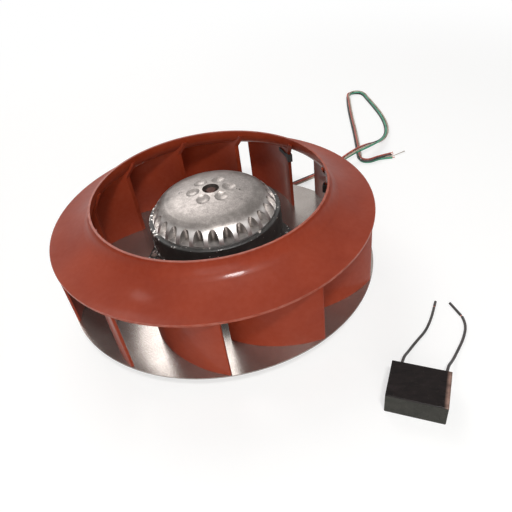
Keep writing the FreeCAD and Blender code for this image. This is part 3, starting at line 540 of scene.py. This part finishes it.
def black_casting():
    """Black air-dried paint brushed over laminations and cast ends, chipped bare on its edges."""
    finish = new_finish("black_air_dried_paint_on_castings")
    # brushed paint pools over 12 mm, and chips are 2 to 3 mm across
    paint = mottle(finish, 12, [(0.3, "#232120"), (0.6, "#363432"), (0.8, "#45423F")])
    low_edge = node(finish, "ShaderNodeMath", {
        0: 1.0, 1: band(finish, "up", 44.6, 46.6),
    }, operation="SUBTRACT").outputs[0]
    bare = specks(finish, 1.9, 0.26)
    for where, chips in (
        (low_edge, specks(finish, 2.8, 0.34)),
        (band(finish, "up", 60.6, 61.6), specks(finish, 3.4, 0.34)),
        (near(finish, (-49.0, -12.0), 26.0), specks(finish, 2.4, 0.45)),
    ):
        chipped = node(finish, "ShaderNodeMath", {0: where, 1: chips}, operation="MULTIPLY")
        bare = node(finish, "ShaderNodeMath", {
            0: bare, 1: chipped.outputs[0],
        }, operation="MAXIMUM").outputs[0]
    paint = node(finish, "ShaderNodeMix", {
        SHARE: bare, UNDER: paint, TOP: linear("#D8D2CC"),
    }, data_type="RGBA").outputs[MIXED]
    return surface(finish, {
        "Base Color": paint,
        "Metallic": bare,
        "Roughness": uneven(finish, 4, 0.44, 0.6),
        "IOR": 1.5,
        "Specular IOR Level": 0.35,
        "Normal": skin(finish, 1.6, 0.06),
    })


def core_steel():
    """Stamped silicon steel in a stack: blue-grey sheets, each edge a fine line."""
    finish = new_finish("stamped_silicon_steel_laminations")
    steel = mottle(finish, 6, [(0.3, "#5B5E63"), (0.7, "#787B80")])
    # a lamination is 0.5 mm, drawn 3.14 mm so that its line shows
    sheets = node(finish, "ShaderNodeTexWave", {
        "Vector": on_piece(finish), "Scale": per_mm(3.14) * WAVE_LENGTH, "Distortion": 0.0,
    }, bands_direction="Z", wave_profile="SAW")
    ridge = node(finish, "ShaderNodeBump", {"Height": sheets.outputs["Fac"], "Distance": 0.0001})
    return surface(finish, {
        "Base Color": steel,
        "Metallic": 1.0,
        "Roughness": uneven(finish, 3, 0.38, 0.55),
        "Normal": ridge.outputs["Normal"],
    })


def bright_steel(name, dark, light, rough, grain):
    """Turned or ground steel: fine rings round the axis and a thin film of oil or plating."""
    finish = new_finish(name)
    return surface(finish, {
        "Base Color": mottle(finish, 4, [(0.3, dark), (0.7, light)]),
        "Metallic": 1.0,
        "Roughness": uneven(finish, 1.5, rough, rough + 0.12, (1, 1, 6)),
        "Normal": skin(finish, grain, 0.008, (1, 1, 8)),
    })


def shaft_steel():
    """Ground carbon steel: bright along its journals, brown with rust on its open top end."""
    finish = new_finish("ground_carbon_steel_rusted_at_the_end")
    clean = mottle(finish, 3, [(0.3, "#9A9793"), (0.7, "#B5B1AC")])
    rust = mottle(finish, 1.1, [(0.3, "#24130F"), (0.55, "#3D2219"), (0.8, "#6B4A3C")])
    aged = band(finish, "up", 70.0, 74.0)
    colour = node(finish, "ShaderNodeMix", {
        SHARE: aged, UNDER: clean, TOP: rust,
    }, data_type="RGBA")
    rough = node(finish, "ShaderNodeMath", {
        0: aged, 1: 0.25, 2: uneven(finish, 2, 0.22, 0.34),
    }, operation="MULTIPLY_ADD")
    return surface(finish, {
        "Base Color": colour.outputs[MIXED],
        "Metallic": 0.85,
        "Roughness": rough.outputs[0],
        "Normal": skin(finish, 0.7, 0.02),
    })


def phosphated_strip():
    """Spring strip, black phosphated: a thin matt crystal coat that hides the metal."""
    finish = new_finish("black_phosphated_clip_strip")
    return surface(finish, {
        "Base Color": mottle(finish, 3, [(0.3, "#161414"), (0.7, "#262322")]),
        "Roughness": uneven(finish, 3, 0.64, 0.74),
        "IOR": 1.52,
        "Normal": skin(finish, 0.6, 0.02),
    })


def moulded_plastic(name, dark, light, rough, across):
    """Injection-moulded plastic: even colour, slight flow marks and a spark-eroded grain."""
    finish = new_finish(name)
    return surface(finish, {
        "Base Color": mottle(finish, across, [(0.3, dark), (0.7, light)]),
        "Roughness": uneven(finish, across, rough, rough + 0.1),
        "IOR": 1.52,
        "Normal": skin(finish, 0.8, 0.012),
    })


def wound_film():
    """Plastic film wound into a flat roll, its ends sprayed: pale satin, slightly ridged."""
    finish = new_finish("wound_film_roll")
    return surface(finish, {
        "Base Color": mottle(finish, 2, [(0.3, "#A8A08C"), (0.7, "#C4BDA9")]),
        "Roughness": uneven(finish, 2, 0.3, 0.4),
        "IOR": 1.52,
        "Normal": skin(finish, 0.5, 0.03),
    })


# the capacitor's centre and half length in metres, and the direction of its length
CAPACITOR_CENTRE = Vector((0.1455, -0.1298, 0))
CAPACITOR_HALF_LENGTH = 0.019
CAPACITOR_TURN = math.radians(-14)
CAPACITOR_ALONG = Vector((math.cos(CAPACITOR_TURN), math.sin(CAPACITOR_TURN), 0))
# how far its right edge is out that way, and where the painted highlight along it starts and is
# full
CAPACITOR_EDGE = CAPACITOR_CENTRE.dot(CAPACITOR_ALONG) + CAPACITOR_HALF_LENGTH
PAINTED_HIGHLIGHT_START = CAPACITOR_EDGE - 0.0032
PAINTED_HIGHLIGHT_FULL = CAPACITOR_EDGE - 0.0014


def capacitor_plastic():
    """Glossy black moulded box: a darker top over grey-green sides, and a painted highlight along
    the top's right edge.
    """
    finish = new_finish("glossy_black_moulded_box")
    # flow marks are 7 to 9 mm across, and settled dust 1.2 mm
    top = mottle(finish, 9, [
        (0.3, "#171313"), (0.6, "#211B1A"), (0.85, "#30282A"),
    ], stretch=(1, 2.2, 1))
    side = mottle(finish, 7, [(0.3, "#33332E"), (0.6, "#3D3C37"), (0.85, "#47463F")])
    upper = band(finish, "up", 16.3, 16.8)
    dust = node(finish, "ShaderNodeMath", {
        0: specks(finish, 1.2, 0.30, 0.06), 1: 0.25,
    }, operation="MULTIPLY").outputs[0]
    # painted highlight: a pale strip along the top's right edge, where the rounded edge mirrors the
    # light
    out = node(finish, "ShaderNodeVectorMath", {
        0: node(finish, "ShaderNodeTexCoord").outputs["Object"], 1: CAPACITOR_ALONG,
    }, operation="DOT_PRODUCT").outputs["Value"]
    edge = node(finish, "ShaderNodeMapRange", {
        "Value": out, "From Min": PAINTED_HIGHLIGHT_START, "From Max": PAINTED_HIGHLIGHT_FULL,
    }).outputs["Result"]
    top_edge = node(finish, "ShaderNodeMath", {0: edge, 1: upper}, operation="MULTIPLY")
    painted_edge_highlight = node(finish, "ShaderNodeMath", {
        0: top_edge.outputs[0], 1: uneven(finish, 6, 0.2, 0.85),
    }, operation="MULTIPLY").outputs[0]
    colour = side
    for share, layer in ((upper, top), (dust, linear("#6E6862")), (painted_edge_highlight, linear("#B08E80"))):
        colour = node(finish, "ShaderNodeMix", {
            SHARE: share, UNDER: colour, TOP: layer,
        }, data_type="RGBA").outputs[MIXED]
    return surface(finish, {
        "Base Color": colour,
        "Roughness": uneven(finish, 7, 0.22, 0.36, (1, 2.5, 1)),
        "IOR": 1.5,
        "Specular IOR Level": 0.1,
        "Normal": skin(finish, 1.3, 0.012),
    })


def lead_insulation(name, dark, light, rough=0.38):
    """Extruded PVC over stranded wire: soft sheen, handled and slightly dusty."""
    finish = new_finish(name)
    # handling marks are 11 mm long, and the drawn surface's grain 1.2 mm
    return surface(finish, {
        "Base Color": mottle(finish, 11, [(0.3, dark), (0.65, light)]),
        "Roughness": uneven(finish, 6, rough, rough + 0.14),
        "IOR": 1.53,
        "Normal": skin(finish, 1.2, 0.012),
    })


def stripped_conductor(name, dark, light):
    """Stranded conductor, stripped: each wire drawn bright, slightly tarnished."""
    finish = new_finish(name)
    return surface(finish, {
        "Base Color": mottle(finish, 1.5, [(0.3, dark), (0.7, light)]),
        "Metallic": 1.0,
        "Roughness": uneven(finish, 2, 0.28, 0.42),
        "Normal": skin(finish, 0.5, 0.008),
    })


def winding_copper():
    """Enamelled copper wire: amber lacquer over wires that lie round the teeth."""
    finish = new_finish("lacquered_copper_winding")
    # a wire is 0.6 mm, drawn 1.6 mm so that single wires show
    wires = node(finish, "ShaderNodeTexNoise", {
        "Vector": on_piece(finish, (1, 1, 3.5)), "Scale": per_mm(1.6), "Detail": 1.0,
    })
    colour = node(finish, "ShaderNodeValToRGB", {"Fac": wires.outputs["Fac"]}, [
        (0.3, "#6E2F14"), (0.55, "#A5522A"), (0.75, "#C9783F"),
    ])
    ridge = node(finish, "ShaderNodeBump", {"Height": wires.outputs["Fac"], "Distance": 0.0004})
    return surface(finish, {
        "Base Color": colour.outputs["Color"],
        "Metallic": 0.8,
        "Roughness": uneven(finish, 3, 0.3, 0.45),
        "Coat Weight": 0.6,
        "Coat Roughness": 0.15,
        "Normal": ridge.outputs["Normal"],
    })


def grommet_rubber():
    """Moulded black rubber: matt, with pale bloom."""
    finish = new_finish("moulded_black_rubber")
    return surface(finish, {
        "Base Color": mottle(finish, 3, [(0.3, "#1E1D1C"), (0.6, "#2A2827"), (0.85, "#413E3B")]),
        "Roughness": uneven(finish, 2, 0.62, 0.78),
        "IOR": 1.52,
        "Normal": skin(finish, 0.8, 0.03),
    })


def potting_resin():
    """Poured epoxy: glossy grey-green with a slow waved surface."""
    finish = new_finish("poured_epoxy")
    return surface(finish, {
        "Base Color": mottle(finish, 10, [(0.3, "#2B2C28"), (0.7, "#3B3D37")]),
        "Roughness": uneven(finish, 9, 0.18, 0.3),
        "IOR": 1.55,
        "Normal": skin(finish, 7, 0.12),
    })


TINNED = stripped_conductor("tinned_stranded_copper", "#A9A29A", "#C9C3BA")
COPPER = stripped_conductor("bare_stranded_copper", "#B0614A", "#D98E75")
LEAD_COLOURS = {
    "red": lead_insulation("red_pvc_insulation", "#9E4334", "#B85C4B"),
    "cream": lead_insulation("cream_pvc_insulation", "#A99A87", "#C3B6A5"),
    "green": lead_insulation("green_pvc_insulation", "#2E7D5E", "#45A17F"),
    "black": lead_insulation("black_pvc_insulation", "#201F1F", "#33302F"),
}
CAPACITOR_BLACK = lead_insulation("black_capacitor_lead_insulation", "#211E1D", "#3A3230", 0.42)
# how far each lead's bare strands fan out, and what they are made of
LEAD_STRANDS = {
    "red": (0.15, COPPER),
    "black": (0.1, COPPER),
    "cream": (0.55, TINNED),
    "green": (0.1, COPPER),
}

FINISHES = [
    (red_enamel(), ["inlet_ring"] + BLADES),
    (galvanised_sheet(), ["back_disc"]),
    (cast_aluminium(), ["rotor_cap", "stator_flange"]),
    (black_casting(), ["rotor_core", "rotor_skirt"]),
    (core_steel(), ["stator_core"]),
    (bright_steel("ground_bearing_steel", "#8F8D8B", "#A9A7A4", 0.16, 0.6), [
        "lower_bearing_inner_ring", "lower_bearing_outer_ring", "lower_bearing_balls",
        "upper_bearing_inner_ring", "upper_bearing_outer_ring", "upper_bearing_balls",
    ]),
    (shaft_steel(), ["shaft"]),
    (bright_steel("tempered_spring_steel", "#5A5652", "#7A756F", 0.3, 0.7), [
        "preload_washer", "shaft_retaining_ring",
    ]),
    (phosphated_strip(), ["balance_clip_1", "balance_clip_2"]),
    (bright_steel("zinc_plated_steel", "#A19D96", "#BCB8B0", 0.26, 0.8), [
        "rotor_rivets", "bearing_end_cap",
    ]),
    (moulded_plastic("moulded_polyamide_cage", "#8A7350", "#A08A66", 0.42, 4), [
        "lower_bearing_cage", "upper_bearing_cage",
    ]),
    (moulded_plastic("moulded_polyester_slot_insulator", "#B9B49E", "#CFCAB5", 0.4, 14), [
        "insulator_lower", "insulator_upper",
    ]),
    (winding_copper(), ["stator_winding"]),
    (grommet_rubber(), ["cable_grommet"]),
    (capacitor_plastic(), ["capacitor_case"]),
    (potting_resin(), ["capacitor_resin"]),
    (wound_film(), ["capacitor_element"]),
]


def dress_nodes():
    """Every carried node gets its finish."""
    for finish, names in FINISHES:
        for name in names:
            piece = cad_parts[name]
            if not piece.material_slots:
                piece.data.materials.append(finish)
            for place in piece.material_slots:
                place.material = finish


def lay_fan_leads():
    """The fan's four leads, each with its stripped end."""
    for colour, (seat, stripped, tip_end) in LEADS.items():
        points = seat_points(colour, seat) + [Vector(stripped)]
        name = f"lead_{colour}"
        piece = lay_line(f"{name}_line", [points], LEAD_DIAMETER, LEAD_COLOURS[colour], "stator")
        splay, metal = LEAD_STRANDS[colour]
        tip = bare_strands(f"{name}_strands", stripped, tip_end, splay, metal, "stator")
        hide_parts(name)
        length_of(points)


def lay_capacitor_leads():
    """The capacitor's two leads, each with bare strands between it and its slid insulation."""
    for side, places in CAPACITOR_LEADS.items():
        points = [Vector(point) for point in places]
        name = f"capacitor_lead_{side}"
        piece = lay_line(
            f"{name}_line", [points], CAPACITOR_LEAD_DIAMETER, CAPACITOR_BLACK, "capacitor",
        )
        gap, tip = (Vector(point) for point in CAPACITOR_SLUGS[side])
        slug = lay_line(
            f"{name}_slug", [[gap, gap.lerp(tip, 0.5), tip]],
            CAPACITOR_LEAD_DIAMETER, CAPACITOR_BLACK, "capacitor",
        )
        forward = (gap - points[-1]).normalized()
        wire = bare_strands(
            f"{name}_strands", points[-1] - forward, gap + forward, 0, COPPER, "capacitor",
        )
        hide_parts(name)
        length_of(points)


# Stage: pale floor, soft lamps and a white surround

WHITE = linear("#FFFFFF")
# half the floor's width in metres, the light that it adds to its own so that it is seen white, and
# the distance in millimetres over which its shading fades out
FLOOR_REACH = 6
FLOOR_GLOW = 0.64
FLOOR_FADE = (420, 900)
# strength of the surround where it lights the object, and where it is seen
SURROUND_LIGHT, SURROUND_SEEN = 0.2, 1.0
# what the lamps aim at, in metres: the motor's middle, and for the low one the floor under it
MOTOR, MOTOR_FOOT = (0, 0, 0.05), (0, 0, 0.03)
HIGH_FRONT = (0.259, -0.581, 1.018)


def seen(finish):
    """1 for what the camera sees straight, mirrored or through something."""
    path = node(finish, "ShaderNodeLightPath")
    share = path.outputs["Is Camera Ray"]
    for ray in ("Is Glossy Ray", "Is Transmission Ray"):
        share = node(finish, "ShaderNodeMath", {
            0: share, 1: path.outputs[ray],
        }, operation="MAXIMUM").outputs[0]
    return share


def set_floor():
    """Wide pale floor that goes to white but keeps the object's shadow."""
    finish = new_finish("pale_matt_floor")
    body = node(finish, "ShaderNodeBsdfDiffuse", {"Color": linear("#E8E6E3")})
    shown = node(finish, "ShaderNodeBsdfDiffuse", {"Color": linear("#AFAEAC")})
    glow = node(finish, "ShaderNodeEmission", {"Color": WHITE, "Strength": FLOOR_GLOW})
    white = node(finish, "ShaderNodeAddShader", {0: shown.outputs[0], 1: glow.outputs[0]})
    # past the lamps' reach it is seen plain white, so that it meets the surround without a line
    plain = node(finish, "ShaderNodeEmission", {"Color": WHITE, "Strength": SURROUND_SEEN})
    fading = node(finish, "ShaderNodeMixShader", {
        0: band(finish, "out", *FLOOR_FADE), 1: white.outputs[0], 2: plain.outputs[0],
    })
    mixed = node(finish, "ShaderNodeMixShader", {
        0: seen(finish), 1: body.outputs[0], 2: fading.outputs[0],
    })
    node(finish, "ShaderNodeOutputMaterial", {"Surface": mixed.outputs[0]})
    mesh = bpy.data.meshes.new("floor")
    shape = bmesh.new()
    bmesh.ops.create_grid(shape, x_segments=1, y_segments=1, size=FLOOR_REACH)
    shape.to_mesh(mesh)
    shape.free()
    mesh.materials.append(finish)
    floor = bpy.data.objects.new("floor", mesh)
    bpy.context.scene.collection.objects.link(floor)


def set_surround():
    """White surround: full strength where it is seen, softer as light on the object."""
    world = bpy.data.worlds.new("surround")
    world.use_nodes = True
    world.node_tree.nodes.clear()
    strength = node(world, "ShaderNodeMapRange", {
        "Value": seen(world), "To Min": SURROUND_LIGHT, "To Max": SURROUND_SEEN,
    })
    back = node(world, "ShaderNodeBackground", {
        "Color": WHITE, "Strength": strength.outputs["Result"],
    })
    node(world, "ShaderNodeOutputWorld", {"Surface": back.outputs[0]})
    bpy.context.scene.world = world


def set_lamp(name, place, aim, size, power, glare_only=False):
    """One square soft lamp, turned to what it aims at; with glare_only just its mirror image."""
    light = bpy.data.lights.new(name, "AREA")
    light.size = size
    light.energy = power
    lamp = bpy.data.objects.new(name, light)
    lamp.location = place
    lamp.rotation_euler = (Vector(aim) - Vector(place)).to_track_quat("-Z", "Y").to_euler()
    lamp.visible_diffuse = not glare_only
    bpy.context.scene.collection.objects.link(lamp)


def set_lamps():
    """Five lamps, placed in metres and powered in watts.

    The high front lamp gives the crisp shadows, and its glare twin the bright marks on the ring
    and the cap. The left softbox lifts the left side. The disc mirrors the rear window. The low
    front fill opens the faces toward the camera.
    """
    set_lamp("high_front_lamp", HIGH_FRONT, MOTOR, 0.12, 5.4)
    set_lamp("high_front_glare", HIGH_FRONT, MOTOR, 0.2, 12.0, glare_only=True)
    set_lamp("left_softbox", (-0.64, 0.03, 1.06), MOTOR, 0.14, 0.4)
    set_lamp("rear_window", (-0.54, 0.92, 1.05), MOTOR, 0.9, 8.6)
    set_lamp("low_front_fill", (0.15, -1.1, 0.42), MOTOR_FOOT, 0.7, 4.5)


set_camera()
lay_fan_leads()
lay_capacitor_leads()
dress_nodes()
set_floor()
set_surround()
set_lamps()

bpy.context.scene.view_settings.view_transform = "Standard"
